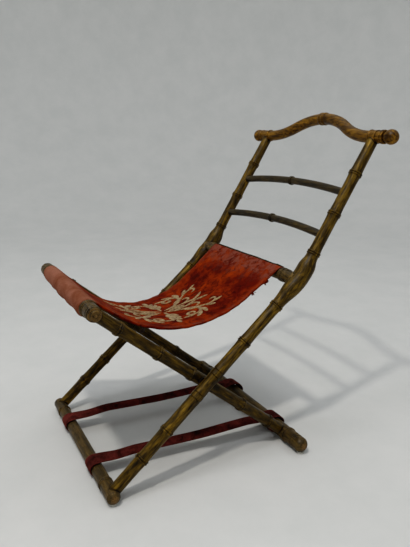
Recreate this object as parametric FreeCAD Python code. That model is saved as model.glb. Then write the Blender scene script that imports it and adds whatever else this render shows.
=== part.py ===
"""Folding X-frame chair: turned faux-bamboo rods, a velvet sling seat and two velvet straps.

Two frames cross at a pair of pivots. The back frame runs from the front floor rail up to the crest;
the seat frame runs from the rear floor rail up to the front seat rail. The sling hangs between the
front seat rail and the rear seat bar, and two straps tie the floor rails together, so the chair can
fold but can't spread. The chair faces -Y, +X is the sitter's left, and +Z is up. Millimetres.
"""
import FreeCAD, Part
import math
import os

os.makedirs("parts", exist_ok=True)
Vector = FreeCAD.Vector

# Side view: heights above the floor, and reaches ahead of or behind the middle of the stance.
stance_depth = 472.0
seat_rail_reach = 248.0
seat_rail_height = 421.0
bend_reach = 247.0
bend_rise = 16.0
crest_reach = 446.6
crest_height = 756.0

# Widths.
upright_spacing = 437.0
leg_inset = 32.0
front_floor_rail_length = 488.0
rear_floor_rail_length = 554.0
seat_rail_length = 434.0
crest_length = 485.0

# Rods.
rod_radius = 14.5
front_floor_rail_radius = 15.0
rear_floor_rail_radius = 18.0
seat_rail_radius = 17.0
rear_bar_radius = 15.0
crest_radius = 14.5
slat_radius = 9.3

# Turning: paired beads at each bamboo node, plain grooves, and stretches that flare out towards their ends.
bead_width = 5.0
bead_rise = 2.0
collar_lip = 0.6
groove_width = 3.0
groove_depth = 1.2
flare_depth = 0.8
flare_length = 16.0

# Uprights: the swelling at the bend, and nodes as shares of foot to pivot, pivot to bulge, bulge to crest.
upright_head_radius = 13.0
bulge_radius = 21.0
bulge_below = 86.0
bulge_above = 59.0
bend_tangent = 22.0
foot_node_shares = (0.31, 0.57)
middle_node_shares = (0.52,)
back_node_shares = (0.345, 0.685)

# Legs: nodes as shares of seat rail to pivot, and of pivot to floor rail.
leg_upper_node_shares = (0.22, 0.58, 0.905)
leg_lower_node_shares = (0.456, 0.794)

# Crest: a yoke that rises in two reversed curves, with a collar at its middle and ball finials.
crest_rise = 53.0
crest_wave_half = 204.0
crest_collar_width = 12.0
crest_collar_rise = 2.0
finial_neck_radius = 11.0
finial_neck_length = 4.0
finial_ball_radius = 17.5
finial_spigot_radius = 6.0
finial_spigot_length = 14.0

# Slats: thin arched rods, placed by shares of the back, from the crest down to the bend.
upper_slat_share = 0.4013
lower_slat_share = 0.7042
slat_arch = 14.0

# Rear seat bar: its place at the bend, back down the upright and out in front of it.
rear_bar_setback = 13.0
rear_bar_offset = 7.0

# Turned ends of the rails, as lengths from the tip.
front_end_cap = 8.0
rear_end_cap = 15.0
rear_end_grooves = (37.0, 28.0)
rear_inner_node = 64.0
seat_end_cap = 4.0
seat_rail_node_gap = 6.0
floor_rail_node_gap = 38.0
bar_boss_gap = 4.0

# Rings of the seat rail's ends and the rear bar's bosses: (share of the radius, share of the stretch).
seat_end_shares = (
    (1.0, 0.09), (0.93, 0.12), (1.0, 0.15), (1.0, 0.58), (0.93, 0.61), (0.97, 0.64),
    (0.97, 0.74), (0.86, 0.77), (0.88, 0.80), (0.88, 0.86), (0.68, 0.89),
)
bar_boss_shares = (
    (1.0, 0.0), (1.16, 0.04), (1.17, 0.12), (1.16, 0.2), (1.04, 0.23), (1.12, 0.27), (1.13, 0.35),
    (1.12, 0.42), (1.0, 0.46), (1.0, 1.0),
)

# Joinery.
rod_tenon_radius = 8.0
rod_tenon_depth = 20.0
bar_tenon_radius = 8.0
bar_tenon_depth = 14.0
slat_tenon_radius = 5.0
slat_tenon_depth = 11.0
tenon_clearance = 0.1
joint_gap = 0.1

# Pivots: a screw from inside through the leg, a spacer washer and a blind hole in the upright.
pivot_radius = 4.0
pivot_clearance = 0.08
pivot_flat = 13.5
pivot_flat_radius = 19.0
pivot_grooves = (26.0, 40.0)
pivot_hole_depth = 18.0
washer_radius = 11.0
rove_radius = 9.0
rove_thickness = 1.5
screw_head_radius = 7.5
screw_head_height = 3.5
end_play = 0.12

# Glides nailed under the ends of the floor rails.
glide_height = 5.0
glide_radius = 9.0
glide_flat_radius = 7.0
glide_seat_depth = 1.5
glide_nail_radius = 1.5
glide_nail_length = 9.0
glide_inset = 15.0

# Cloth: the velvet sling, its canvas lining and the straps. The sling hangs lower on its right edge, and
# its lowest line is a little ahead of the stance's middle.
cloth_gap = 0.3
velvet_thickness = 2.2
lining_thickness = 1.0
lining_setback = 14.0
sling_width = 320.0
sling_sag_left = 80.0
sling_sag_right = 112.0
sling_forward = 20.0
sling_left_round_share = 0.938
sling_right_round_share = 0.886
strap_thickness = 2.4
strap_width = 39.0
strap_spacing = 210.0
strap_drift = 34.0
strap_sag = 7.0
strap_bottom_radius = 1400.0
sleeve_end_angle = 312.0
rear_end_angle = -40.0
strap_front_end_angle = 340.0
strap_rear_end_angle = -160.0

# Upholstery tacks.
tack_head_radius = 4.0
tack_head_height = 1.6
tack_shank_radius = 0.9
tack_shank_length = 11.0
tack_clearance = 0.3
tack_angle_in = 13.0
sling_tack_count = 7
sling_tack_margin = 22.0
strap_tack_spacing = 18.0

overrun = 60.0
straight_angle = 180.0

# The origin is on the floor, under the middle of the whole chair. The bend keeps its rise over the seat rail.
bend_height = seat_rail_height + bend_rise
back_run = Vector(0, crest_reach - bend_reach, crest_height - bend_height)
front_reach = seat_rail_reach + seat_rail_radius + cloth_gap + velvet_thickness
collar_radius = crest_radius + collar_lip + crest_collar_rise
rear_reach = crest_reach + crest_rise * back_run.y / back_run.Length + collar_radius
middle_y = (rear_reach - front_reach) / 2


def place(reach, height):
    """Point in the middle plane, from a reach behind the middle of the stance and a height."""
    return Vector(0, reach - middle_y, height)


def unit(vector):
    return Vector(vector).normalize()


def sideways(x):
    return Vector(x, 0, 0)


def crossing(start, end, other_start, other_end):
    """Point where two lines of the side view meet."""
    along = end - start
    across = other_end - other_start
    apart = other_start - start
    share = (apart.y * across.z - apart.z * across.y) / (along.y * across.z - along.z * across.y)
    return start + along * share


up = Vector(0, 0, 1)
left = Vector(1, 0, 0)
rail_drop = glide_height - glide_seat_depth
front_foot = place(-stance_depth / 2, rail_drop + front_floor_rail_radius)
rear_foot = place(stance_depth / 2, rail_drop + rear_floor_rail_radius)
seat_front = place(-seat_rail_reach, seat_rail_height)
bend = place(bend_reach, bend_height)
crest = place(crest_reach, crest_height)
pivot = crossing(front_foot, bend, seat_front, rear_foot)
lower_way = unit(bend - front_foot)
upper_way = unit(crest - bend)
leg_way = unit(rear_foot - seat_front)
lower_front = Vector(0, -lower_way.z, lower_way.y)
rear_bar = bend - lower_way * rear_bar_setback + lower_front * rear_bar_offset
upright_x = upright_spacing / 2
leg_x = upright_x - leg_inset
sides = {"left": 1, "right": -1}


# Turned work. An outline is a list of (radius, station) points; a pair of points is an arc's middle and end.
def is_arc(step):
    return isinstance(step[0], tuple)


def end_of(step):
    return step[1] if is_arc(step) else step


def lathe(outline):
    """Solid of revolution about +Z from an outline that starts and ends on the axis."""
    edges = []
    here = outline[0]
    for step in outline[1:] + outline[:1]:
        points = [here, *step] if is_arc(step) else [here, step]
        corners = [Vector(radius, 0, station) for radius, station in points]
        curve = Part.Arc(*corners) if is_arc(step) else Part.LineSegment(*corners)
        edges.append(curve.toShape())
        here = end_of(step)
    return Part.Face(Part.Wire(edges)).revolve(Vector(), up, 360)


def set_along(shape, start, way):
    """Move a shape made about +Z so that it starts at a point and runs along a direction."""
    shape.Placement = FreeCAD.Placement(start, FreeCAD.Rotation(up, way))
    return shape


def beads(radius, station, width=bead_width, rise=bead_rise):
    """Bamboo node: two half-round beads side by side."""
    return [
        (radius, station - width),
        ((radius + rise, station - width / 2), (radius, station)),
        ((radius + rise, station + width / 2), (radius, station + width)),
    ]


def groove(radius, station):
    return [
        (radius, station - groove_width / 2),
        (radius - groove_depth, station),
        (radius, station + groove_width / 2),
    ]


def cap(radius, shoulder, tip):
    """Rounded end from a shoulder to a tip on the axis."""
    height = tip - shoulder
    ball = (radius**2 + height**2) / (2 * height)
    half_turn = math.atan2(radius, ball - height) / 2
    middle = (ball * math.sin(half_turn), tip - ball * (1 - math.cos(half_turn)))
    return [(radius, shoulder), (middle, (0, tip))]


def both_ends(half):
    """Whole outline of a rail, from its half outline from the middle to the tip of one end."""
    def flip(point):
        return (point[0], -point[1])

    other = []
    for earlier, later in reversed(list(zip(half, half[1:]))):
        target = flip(end_of(earlier))
        other.append((flip(later[0]), target) if is_arc(later) else target)
    return [flip(end_of(half[-1])), *other, *half[1:]]


def stretch(radius, start, end):
    """Plain stretch between two details, waisted where it is long, or nothing where they touch."""
    if end - start < joint_gap:
        return []
    if end - start < 3 * flare_length:
        return [(radius, end)]
    waist = radius - flare_depth
    return [(waist, start + flare_length), (waist, end - flare_length), (radius, end)]


def cane(radius, start, end, nodes, grooves=()):
    """Outline of a rod turned like a cane, with a node or a groove at each given station."""
    outline = [(radius, start)]
    details = [beads(radius, station) for station in nodes]
    details += [groove(radius, station) for station in grooves]
    for detail in sorted(details, key=lambda steps: steps[0][1]):
        outline += stretch(radius, end_of(outline[-1])[1], detail[0][1])
        outline += detail[1:]
    return outline + stretch(radius, end_of(outline[-1])[1], end)


def swell(radius, start, other_radius, end):
    """Smooth change of radius between two stations: two equal arcs that reverse midway."""
    half_length = (end - start) / 2
    half_rise = (other_radius - radius) / 2
    bow = (half_length**2 + half_rise**2) / (2 * half_rise)
    turn = math.asin(half_length / bow) / 2
    along = bow * math.sin(turn)
    rise = bow * (1 - math.cos(turn))
    middle = (radius + half_rise, start + half_length)
    return [
        ((radius + rise, start + along), middle),
        ((other_radius - rise, end - along), (other_radius, end)),
    ]


def collar(radius, width, rise):
    """Bead pair by itself, standing a little proud of the bent rod that it goes round."""
    return lathe([(0, -width), *beads(radius + collar_lip, 0, width, rise), (0, width)])


def rod(radius, start, end):
    return Part.makeCylinder(radius, (end - start).Length, start, unit(end - start))


def tenon(axis_point, way, seat_radius, radius, depth):
    """Round tenon that reaches from inside its own rod, at axis_point plus way, into the rail it seats on."""
    tip = axis_point + way * (seat_radius - depth)
    return rod(radius, tip, tip + way * (2 * depth))


def socket(axis_point, way, seat_radius, radius, depth):
    """Tool for the hole that takes the same tenon."""
    tip = axis_point + way * (seat_radius - depth - tenon_clearance)
    return rod(radius + tenon_clearance, tip, tip + way * (2 * depth))


def seat_tool(axis_point, radius):
    """Tool that copes a rod's end to the round of the rail it meets."""
    reach = sideways(upright_spacing)
    return rod(radius + joint_gap, axis_point - reach, axis_point + reach)


# Uprights.
lower_length = (bend - front_foot).Length - bulge_below
foot_to_pivot = (pivot - front_foot).Length
pivot_to_bulge = lower_length - foot_to_pivot
upper_length = (crest - bend).Length - bulge_above


def upright_body(extra):
    """Whole upright in the middle plane: a straight run, the bent bulge, and the run up to the crest."""
    radius = rod_radius + extra
    fat = bulge_radius + extra
    turn = lower_way.getAngle(upper_way)
    bulge_start = bend - lower_way * bend_tangent
    bulge_end = bend + upper_way * bend_tangent
    centre = bulge_start + lower_front * (bend_tangent / math.tan(turn / 2))
    ring = set_along(Part.makeCircle(fat), bulge_start, lower_way)
    bulge = Part.Face(Part.Wire([ring])).revolve(centre, left, math.degrees(turn))

    nodes = [foot_to_pivot * share for share in foot_node_shares]
    nodes += [foot_to_pivot + pivot_to_bulge * share for share in middle_node_shares]
    nodes.append(lower_length - bead_width)
    grooves = [foot_to_pivot + side * reach for side in (1, -1) for reach in pivot_grooves]
    total = (bulge_start - front_foot).Length
    outline = [(0, 0), *cane(radius, 0, lower_length, nodes, grooves)]
    outline += [*swell(radius, lower_length, fat, total), (0, total)]
    lower = set_along(lathe(outline), front_foot, lower_way)

    neck = bulge_above - bend_tangent
    nodes = [neck + bead_width] + [neck + upper_length * share for share in back_node_shares]
    taper_start = nodes[-1] + bead_width + flare_length
    total = neck + upper_length
    outline = [(0, 0), (fat, 0), *swell(fat, 0, radius, neck)]
    outline += cane(radius, neck, nodes[-1] + bead_width, nodes)[1:]
    outline += [(radius - flare_depth, taper_start), (upright_head_radius + extra, total), (0, total)]
    upper = set_along(lathe(outline), bulge_end, upper_way)
    return lower.fuse([bulge, upper])


upright_tool = upright_body(joint_gap)
upright_tools = [upright_tool.translated(sideways(side * upright_x)) for side in sides.values()]
back_normal = left.cross(upper_way)


def swept(radius, start, way, centre, angle):
    """Round rod bent in the plane of the back, about a centre."""
    section = set_along(Part.makeCircle(radius), start, way)
    return Part.Face(Part.Wire([section])).revolve(centre, back_normal, math.degrees(angle))


slat_drops = {"upper": upper_slat_share * back_run.Length, "lower": lower_slat_share * back_run.Length}
slat_chord_radius = (upright_x**2 + slat_arch**2) / (2 * slat_arch)
slat_slope = math.asin(upright_x / slat_chord_radius)


def slat_end(drop, side):
    """Where a slat meets an upright's axis, and its direction there, towards the middle."""
    way = sideways(-side * math.cos(slat_slope)) + upper_way * math.sin(slat_slope)
    return crest - upper_way * drop + sideways(side * upright_x), way


def pivot_spot(from_x, side, way):
    """Tool for the round flat that a washer bears on."""
    start = pivot + sideways(side * from_x)
    return Part.makeCylinder(pivot_flat_radius, overrun, start, left * (side * way))


def build_upright(side):
    body = upright_body(0).translated(sideways(side * upright_x))
    body = body.cut([seat_tool(front_foot, front_floor_rail_radius), seat_tool(crest, crest_radius)])
    foot = front_foot + sideways(side * upright_x)
    head = crest + sideways(side * upright_x)
    body = body.fuse([
        tenon(foot, lower_way, front_floor_rail_radius, rod_tenon_radius, rod_tenon_depth),
        tenon(head, upper_way * -1, crest_radius, rod_tenon_radius, rod_tenon_depth),
    ])
    holes = [pivot_spot(upright_x - pivot_flat, side, -1)]
    blind_start = pivot + sideways(side * (upright_x - pivot_flat))
    holes.append(rod(pivot_radius + pivot_clearance, blind_start, blind_start + sideways(side * pivot_hole_depth)))
    bar_end = rear_bar + sideways(side * upright_x)
    holes.append(socket(bar_end, sideways(-side), bulge_radius, bar_tenon_radius, bar_tenon_depth))
    for drop in slat_drops.values():
        point, way = slat_end(drop, side)
        holes.append(socket(point, way, rod_radius, slat_tenon_radius, slat_tenon_depth))
    return body.cut(holes)


# Legs.
leg_length = (rear_foot - seat_front).Length
rail_to_pivot = (pivot - seat_front).Length


def build_leg(side):
    nodes = [rail_to_pivot * share for share in leg_upper_node_shares]
    nodes += [rail_to_pivot + (leg_length - rail_to_pivot) * share for share in leg_lower_node_shares]
    top = seat_front + sideways(side * leg_x)
    foot = rear_foot + sideways(side * leg_x)
    outline = [(0, 0), *cane(rod_radius, 0, leg_length, nodes), (0, leg_length)]
    body = set_along(lathe(outline), top, leg_way)
    body = body.cut([seat_tool(seat_front, seat_rail_radius), seat_tool(rear_foot, rear_floor_rail_radius)])
    body = body.fuse([
        tenon(top, leg_way, seat_rail_radius, rod_tenon_radius, rod_tenon_depth),
        tenon(foot, leg_way * -1, rear_floor_rail_radius, rod_tenon_radius, rod_tenon_depth),
    ])
    bore_start = pivot + sideways(side * (leg_x - overrun))
    return body.cut([
        pivot_spot(leg_x + pivot_flat, side, 1),
        pivot_spot(leg_x - pivot_flat, side, -1),
        rod(pivot_radius + pivot_clearance, bore_start, bore_start + sideways(side * 2 * overrun)),
    ])


# Rails. Each is turned about X, drilled for its tenons, and flattened where a glide sits.
def turned_rail(half, axis_point):
    return set_along(lathe(both_ends(half)), axis_point, left)


def glide_places(axis_point, length):
    return [
        Vector(side * (length / 2 - glide_inset), axis_point.y, 0) for side in sides.values()
    ]


def glide_cuts(axis_point, length):
    cuts = []
    for point in glide_places(axis_point, length):
        cuts.append(rod(glide_radius + joint_gap, point, point + up * glide_height))
        nail_top = glide_height + glide_nail_length + tenon_clearance
        cuts.append(rod(glide_nail_radius + tenon_clearance, point, point + up * nail_top))
    return cuts


def build_glides(axis_point, length):
    """Domed glides with a flat to stand on and a nail up into the rail."""
    edge = glide_radius - glide_flat_radius
    round_share = math.sqrt(0.5)
    middle = (glide_flat_radius + edge * round_share, edge * (1 - round_share))
    nail_tip = glide_height + glide_nail_length
    outline = [
        (0, 0), (glide_flat_radius, 0), (middle, (glide_radius, edge)), (glide_radius, glide_height),
        (glide_nail_radius, glide_height), (glide_nail_radius, nail_tip), (0, nail_tip),
    ]
    return [set_along(lathe(outline), point, up) for point in glide_places(axis_point, length)]


def turned_rings(shares, radius, start, end):
    """Outline of a run of turned rings, from a table of shares."""
    return [(radius * size, start + (end - start) * along) for size, along in shares]


def build_front_floor_rail():
    tip = front_floor_rail_length / 2
    radius = front_floor_rail_radius
    shoulder = tip - front_end_cap
    half = [(radius, 0), *beads(radius, upright_x - floor_rail_node_gap)]
    half += [*groove(radius, shoulder - groove_width / 2), *cap(radius, shoulder, tip)[1:]]
    holes = glide_cuts(front_foot, front_floor_rail_length)
    for side in sides.values():
        foot = front_foot + sideways(side * upright_x)
        holes.append(socket(foot, lower_way, radius, rod_tenon_radius, rod_tenon_depth))
    return turned_rail(half, front_foot).cut(holes)


def build_rear_floor_rail():
    tip = rear_floor_rail_length / 2
    radius = rear_floor_rail_radius
    half = [(radius, 0), *beads(radius, tip - rear_inner_node)]
    for reach in rear_end_grooves:
        half += groove(radius, tip - reach)
    half += cap(radius, tip - rear_end_cap, tip)
    holes = glide_cuts(rear_foot, rear_floor_rail_length)
    for side in sides.values():
        foot = rear_foot + sideways(side * leg_x)
        holes.append(socket(foot, leg_way * -1, radius, rod_tenon_radius, rod_tenon_depth))
    return turned_rail(half, rear_foot).cut(holes)


def build_front_seat_rail():
    tip = seat_rail_length / 2
    radius = seat_rail_radius
    half = [(radius, 0), *beads(radius, sling_width / 2 + seat_rail_node_gap)]
    rings = turned_rings(seat_end_shares, radius, end_of(half[-1])[1], tip)
    half += [*rings, (rings[-1][0], tip - seat_end_cap), *cap(rings[-1][0], tip - seat_end_cap, tip)[1:]]
    holes = []
    for side in sides.values():
        top = seat_front + sideways(side * leg_x)
        holes.append(socket(top, leg_way, radius, rod_tenon_radius, rod_tenon_depth))
    return turned_rail(half, seat_front).cut(holes)


def build_rear_seat_bar():
    """Bar under the back edge of the sling, coped to the swellings and tenoned into them."""
    half = [(rear_bar_radius, 0)]
    half += turned_rings(bar_boss_shares, rear_bar_radius, sling_width / 2 + bar_boss_gap, upright_x)
    bar = turned_rail([*half, (0, upright_x)], rear_bar)
    bar = max(bar.cut(upright_tools).Solids, key=lambda solid: solid.Volume)
    pins = []
    for side in sides.values():
        end = rear_bar + sideways(side * upright_x)
        pins.append(tenon(end, sideways(-side), bulge_radius, bar_tenon_radius, bar_tenon_depth))
    return bar.fuse(pins)


def build_slat(drop):
    """Thin arched rod with a node at its middle."""
    start, way = slat_end(drop, 1)
    peak = crest - upper_way * (drop - slat_arch)
    slat = swept(slat_radius, start, way, peak - upper_way * slat_chord_radius, 2 * slat_slope)
    slat = max(slat.cut(upright_tools).Solids, key=lambda solid: solid.Volume)
    pieces = [set_along(collar(slat_radius, bead_width, bead_rise), peak, left)]
    for side in sides.values():
        point, way = slat_end(drop, side)
        pieces.append(tenon(point, way, rod_radius, slat_tenon_radius, slat_tenon_depth))
    return slat.fuse(pieces)


def build_crest():
    """Yoke-shaped crest: two reversed arcs on each side, straight where the uprights enter."""
    wave_radius = (crest_wave_half**2 + crest_rise**2) / (4 * crest_rise)
    slope = math.asin(crest_wave_half / (2 * wave_radius))
    end = crest_length / 2

    def at(x, rise):
        return crest + sideways(x) + upper_way * rise

    turn = at(crest_wave_half / 2, crest_rise / 2)
    turn_way = sideways(-math.cos(slope)) + upper_way * math.sin(slope)
    pieces = [set_along(collar(crest_radius, crest_collar_width, crest_collar_rise), at(0, crest_rise), left)]
    for side in sides.values():
        hollow_start = at(side * crest_wave_half, 0)
        hollow_centre = at(side * crest_wave_half, wave_radius)
        pieces.append(rod(crest_radius, at(side * end, 0), hollow_start))
        pieces.append(swept(crest_radius, hollow_start, left, hollow_centre, -side * slope))
    yoke = swept(crest_radius, turn, turn_way, at(0, crest_rise - wave_radius), 2 * slope).fuse(pieces)
    holes = []
    for side in sides.values():
        head = crest + sideways(side * upright_x)
        holes.append(socket(head, upper_way * -1, crest_radius, rod_tenon_radius, rod_tenon_depth))
        holes.append(socket(at(side * end, 0), sideways(side), 0, finial_spigot_radius, finial_spigot_length))
    return yoke.cut(holes)


def build_finial(side):
    """Ball finial with a bead pair at its foot and a spigot into the crest."""
    neck_start = 2 * bead_width
    neck_end = neck_start + finial_neck_length
    ball_station = neck_end + math.sqrt(finial_ball_radius**2 - finial_neck_radius**2)
    outline = [
        (0, -finial_spigot_length), (finial_spigot_radius, -finial_spigot_length), (finial_spigot_radius, 0),
        *beads(crest_radius, bead_width), (finial_neck_radius, neck_start), (finial_neck_radius, neck_end),
        ((finial_ball_radius, ball_station), (0, ball_station + finial_ball_radius)),
    ]
    return set_along(lathe(outline), crest + sideways(side * crest_length / 2), sideways(side))


# Pivot hardware.
def build_pivot_screw(side):
    head_back = leg_x - pivot_flat - end_play - rove_thickness
    length = upright_x - pivot_flat + pivot_hole_depth - tenon_clearance - head_back
    head = cap(screw_head_radius, 0, screw_head_height)
    outline = [(0, -length), (pivot_radius, -length), (pivot_radius, 0), *head]
    return set_along(lathe(outline), pivot + sideways(side * head_back), sideways(-side))


def ring(inner, outer, start, thickness, side):
    begin = pivot + sideways(side * start)
    end = pivot + sideways(side * (start + thickness))
    return rod(outer, begin, end).cut(rod(inner, begin, end))


def build_washer(side):
    start = leg_x + pivot_flat + end_play
    thickness = upright_x - pivot_flat - start
    return ring(pivot_radius + pivot_clearance, washer_radius, start, thickness, side)


def build_rove(side):
    start = leg_x - pivot_flat - end_play - rove_thickness
    return ring(pivot_radius + pivot_clearance, rove_radius, start, rove_thickness, side)


# Cloth. A path is a list of lines and arcs; each is a list of (point, normal), the normal to its upper face.
def turn_at(angle):
    return Vector(0, math.cos(math.radians(angle)), math.sin(math.radians(angle)))


def bent(centre, radius, start, end, facing):
    """Arc about a centre between two angles; facing is 1 where its upper face looks outwards."""
    stops = (start, (start + end) / 2, end)
    return [(centre + turn_at(angle) * radius, turn_at(angle) * facing) for angle in stops]


def widest_bottom(rail, radius, low_point):
    """Radius of the lowest arc that would reach a rail with no straight run between them."""
    down = rail - low_point
    return (down.y**2 + down.z**2 - radius**2) / (2 * (radius + down.z))


def hung(front, front_radius, rear, rear_radius, low, bottom_radius, forward):
    """Angles at which a hanging cloth leaves its front rail and meets its rear one, and its lowest arc's centre."""
    centre = place(-forward, low + bottom_radius)
    angles = []
    for rail, radius, sign in ((front, front_radius, 1), (rear, rear_radius, -1)):
        to_centre = centre - rail
        aim = math.degrees(math.atan2(to_centre.z, to_centre.y))
        angles.append(aim + sign * math.degrees(math.acos((bottom_radius + radius) / to_centre.Length)))
    return angles[0], angles[1], centre


def hanging_span(front, front_radius, rear, rear_radius, low, bottom_radius, forward):
    """Free span between two rails: straight, round the bottom, and straight again."""
    leave, arrive, centre = hung(front, front_radius, rear, rear_radius, low, bottom_radius, forward)
    bottom = bent(centre, bottom_radius, leave + straight_angle, arrive + straight_angle, -1)
    first = (front + turn_at(leave) * front_radius, turn_at(leave))
    last = (rear + turn_at(arrive) * rear_radius, turn_at(arrive))
    return [[first, bottom[0]], bottom, [bottom[-1], last]], leave, arrive


def wrapped_path(front, front_radius, rear, rear_radius, low, bottom_radius, forward, front_end, rear_end):
    """Cloth wrapped under and over its front rail, hanging free, then over and behind its rear rail."""
    span, leave, arrive = hanging_span(front, front_radius, rear, rear_radius, low, bottom_radius, forward)
    front_middle = (front_end + leave) / 2
    rear_middle = (arrive + rear_end) / 2
    return [
        bent(front, front_radius, front_end, front_middle, 1),
        bent(front, front_radius, front_middle, leave, 1),
        *span,
        bent(rear, rear_radius, arrive, rear_middle, 1),
        bent(rear, rear_radius, rear_middle, rear_end, 1),
    ]


def strip_wire(path, lower, upper, x, drift):
    """Closed section of a cloth, between two distances from its path; it may drift sideways over the stance."""
    def moved(point):
        return point + sideways(x + drift * (point.y - front_foot.y) / stance_depth)

    def edge(points):
        return (Part.Arc(*points) if len(points) == 3 else Part.LineSegment(*points)).toShape()

    faces = {}
    for offset in (lower, upper):
        faces[offset] = [[moved(p + n * offset) for p, n in step] for step in path]
    edges = [edge(points) for points in faces[lower]]
    edges.append(edge([faces[lower][-1][-1], faces[upper][-1][-1]]))
    edges += [edge(points[::-1]) for points in reversed(faces[upper])]
    edges.append(edge([faces[upper][0][0], faces[lower][0][0]]))
    return Part.Wire(edges)


def strip(left_path, right_path, lower, upper, left_x, right_x, drift=0):
    """Cloth solid between the section at its left edge and the one at its right edge."""
    left_wire = strip_wire(left_path, lower, upper, left_x, drift)
    right_wire = strip_wire(right_path, lower, upper, right_x, drift)
    return Part.makeLoft([left_wire, right_wire], True, True)


def build_tacks(axis_point, surface_radius, angle, stations):
    """Row of domed tacks driven straight at a rail's axis, and the holes that they make."""
    way = turn_at(angle)
    outline = [(0, -tack_shank_length), (tack_shank_radius, -tack_shank_length), (tack_shank_radius, 0)]
    outline += cap(tack_head_radius, 0, tack_head_height)
    tacks = []
    holes = []
    for x in stations:
        seat = axis_point + sideways(x) + way * (surface_radius + tack_clearance)
        tacks.append(set_along(lathe(outline), seat, way))
        deep = seat - way * (tack_shank_length + tack_clearance)
        holes.append(rod(tack_shank_radius + tack_clearance, deep, seat + way * tack_clearance))
    return tacks, holes


sling_bottoms = {
    "left": (seat_rail_height - sling_sag_left, sling_left_round_share),
    "right": (seat_rail_height - sling_sag_right, sling_right_round_share),
}
sling_front_radius = seat_rail_radius + cloth_gap
sling_rear_radius = rear_bar_radius + cloth_gap
sling_paths = {}
lining_paths = {}
for name, (low, round_share) in sling_bottoms.items():
    low_point = place(-sling_forward, low)
    roundest = min(
        widest_bottom(seat_front, sling_front_radius, low_point),
        widest_bottom(rear_bar, sling_rear_radius, low_point),
    )
    bottom_radius = round_share * roundest
    hang = (seat_front, sling_front_radius, rear_bar, sling_rear_radius, low, bottom_radius, sling_forward)
    sling_paths[name] = wrapped_path(*hang, sleeve_end_angle, rear_end_angle)
    front_run, low_run, rear_run = hanging_span(*hang)[0]
    front_way = unit(front_run[1][0] - front_run[0][0])
    rear_way = unit(rear_run[0][0] - rear_run[1][0])
    front_run[0] = (front_run[0][0] + front_way * lining_setback, front_run[0][1])
    rear_run[1] = (rear_run[1][0] + rear_way * lining_setback, rear_run[1][1])
    lining_paths[name] = [front_run, low_run, rear_run]

half_sling = sling_width / 2
sling = strip(sling_paths["left"], sling_paths["right"], 0, velvet_thickness, half_sling, -half_sling)
lining_top = -cloth_gap
lining_bottom = lining_top - lining_thickness
lining = strip(lining_paths["left"], lining_paths["right"], lining_bottom, lining_top, half_sling, -half_sling)

strap_front_radius = front_floor_rail_radius + cloth_gap
strap_rear_radius = rear_floor_rail_radius + cloth_gap
strap_level = (front_foot.z + strap_front_radius + rear_foot.z + strap_rear_radius) / 2
strap_path = wrapped_path(
    front_foot, strap_front_radius, rear_foot, strap_rear_radius, strap_level - strap_sag,
    strap_bottom_radius, 0, strap_front_end_angle, strap_rear_end_angle,
)

half_row = half_sling - sling_tack_margin
tack_step = 2 * half_row / (sling_tack_count - 1)
sling_tack_stations = [-half_row + tack_step * index for index in range(sling_tack_count)]
strap_tack_stations = {}
for name, side in sides.items():
    strap_x = side * strap_spacing / 2
    strap_tack_stations[name] = [strap_x + half * strap_tack_spacing / 2 for half in (1, -1)]
strap_front_stations = strap_tack_stations["left"] + strap_tack_stations["right"]
strap_rear_stations = [x + strap_drift for x in strap_front_stations]

front_tacks, front_tack_holes = build_tacks(
    seat_front, sling_front_radius + velvet_thickness, sleeve_end_angle - tack_angle_in, sling_tack_stations)
rear_tacks, rear_tack_holes = build_tacks(
    rear_bar, sling_rear_radius + velvet_thickness, rear_end_angle + tack_angle_in, sling_tack_stations)
strap_front_tacks, strap_front_holes = build_tacks(
    front_foot, strap_front_radius + strap_thickness, strap_front_end_angle - tack_angle_in, strap_front_stations)
strap_rear_tacks, strap_rear_holes = build_tacks(
    rear_foot, strap_rear_radius + strap_thickness, strap_rear_end_angle + tack_angle_in, strap_rear_stations)

nodes = {
    "front_floor_rail": build_front_floor_rail().cut(strap_front_holes),
    "rear_floor_rail": build_rear_floor_rail().cut(strap_rear_holes),
    "front_seat_rail": build_front_seat_rail().cut(front_tack_holes),
    "rear_seat_bar": build_rear_seat_bar().cut(rear_tack_holes),
    "crest_rail": build_crest(),
    "seat_sling": sling.cut(front_tack_holes + rear_tack_holes),
    "seat_lining": lining,
    "sling_front_tacks": Part.makeCompound(front_tacks),
    "sling_rear_tacks": Part.makeCompound(rear_tacks),
    "strap_front_tacks": Part.makeCompound(strap_front_tacks),
    "strap_rear_tacks": Part.makeCompound(strap_rear_tacks),
    "front_glides": Part.makeCompound(build_glides(front_foot, front_floor_rail_length)),
    "rear_glides": Part.makeCompound(build_glides(rear_foot, rear_floor_rail_length)),
}
for name, drop in slat_drops.items():
    nodes[f"{name}_back_slat"] = build_slat(drop)
for name, side in sides.items():
    nodes[f"upright_{name}"] = build_upright(side)
    nodes[f"leg_{name}"] = build_leg(side)
    nodes[f"crest_finial_{name}"] = build_finial(side)
    nodes[f"pivot_screw_{name}"] = build_pivot_screw(side)
    nodes[f"pivot_washer_{name}"] = build_washer(side)
    nodes[f"pivot_rove_{name}"] = build_rove(side)
    middle = side * strap_spacing / 2
    half_strap = strap_width / 2
    strap = strip(strap_path, strap_path, 0, strap_thickness, middle + half_strap, middle - half_strap, strap_drift)
    nodes[f"strap_{name}"] = strap.cut(strap_front_holes + strap_rear_holes)

for name, shape in nodes.items():
    shape.exportStep(f"parts/{name}.step")
    print(f"{name}: {len(shape.Solids)} solid(s), {shape.Volume / 1000:.1f} cm3, valid {shape.isValid()}")

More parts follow.
